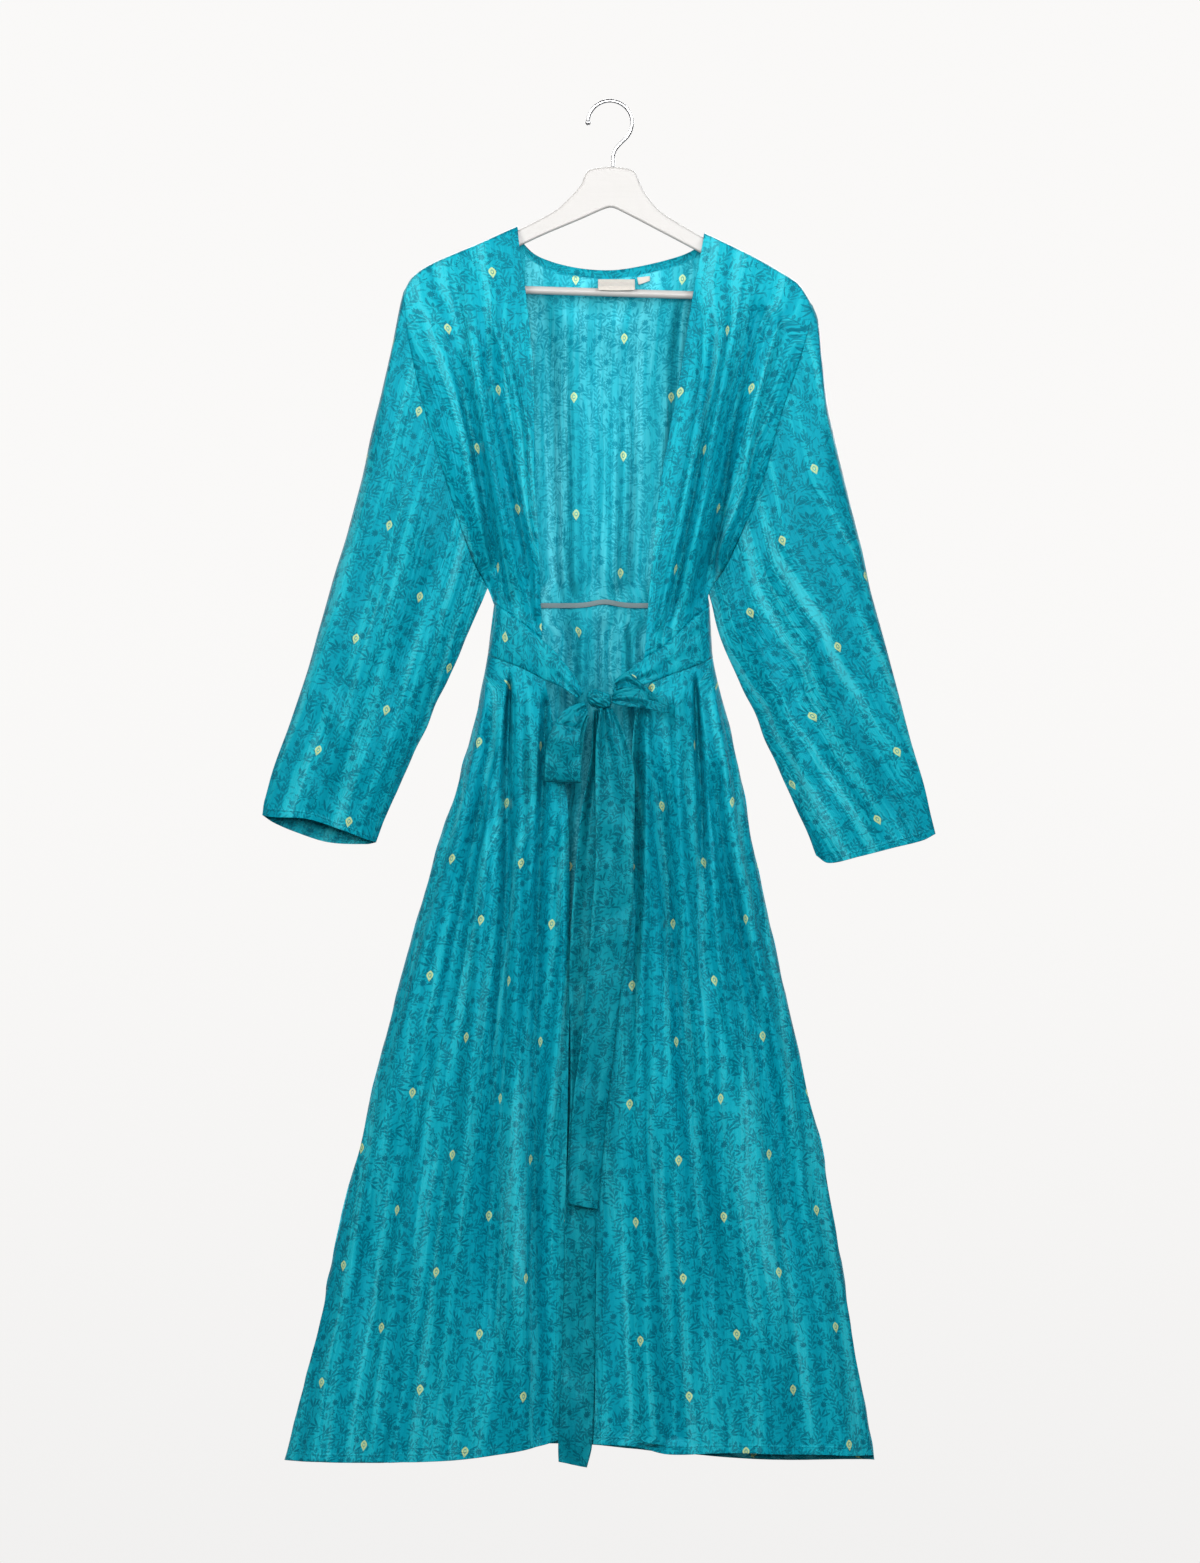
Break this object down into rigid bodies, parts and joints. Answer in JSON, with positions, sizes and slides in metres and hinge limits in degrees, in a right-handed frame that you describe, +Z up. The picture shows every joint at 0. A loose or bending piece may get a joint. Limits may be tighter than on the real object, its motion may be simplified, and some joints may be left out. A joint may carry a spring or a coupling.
{
  "type": "beach robe on a clothes hanger",
  "caption": "Long open-front wrap robe with tied waistband and long sleeves, hanging from a wooden clothes hanger with a metal hook.",
  "frame": {"origin": "top of the hook's inside, where a rail carries the hanger", "axes": "+Z up along the hanging robe, -Y out of the front of the robe, +X to the right as seen from the front"},
  "size_m": [0.7155, 0.1143, 1.4482],
  "materials": {
    "silk": "soft silk sheen, tonal floral print",
    "tape": "matt woven tape",
    "label": "matt woven satin, blank",
    "wood_white": "white satin paint",
    "chrome": "polished"
  },
  "bodies": {
    "root": {"bodice_front_left": "silk", "bodice_front_right": "silk", "bodice_back": "silk", "neck_band": "silk", "sleeve_left": "silk", "sleeve_right": "silk", "waistband_left": "silk", "waistband_right": "silk", "skirt_front_left": "silk", "skirt_front_right": "silk", "skirt_back": "silk", "bow_knot": "silk", "bow_loop_left": "silk", "bow_loop_right": "silk", "tie_tail_long": "silk", "tie_tail_short": "silk", "waist_tape": "tape", "neck_label": "label", "size_tab": "label", "hanger_body": "wood_white", "hanger_bar": "wood_white", "hanger_hook": "chrome", "hook_tip": "chrome"}
  },
  "joints": []
}
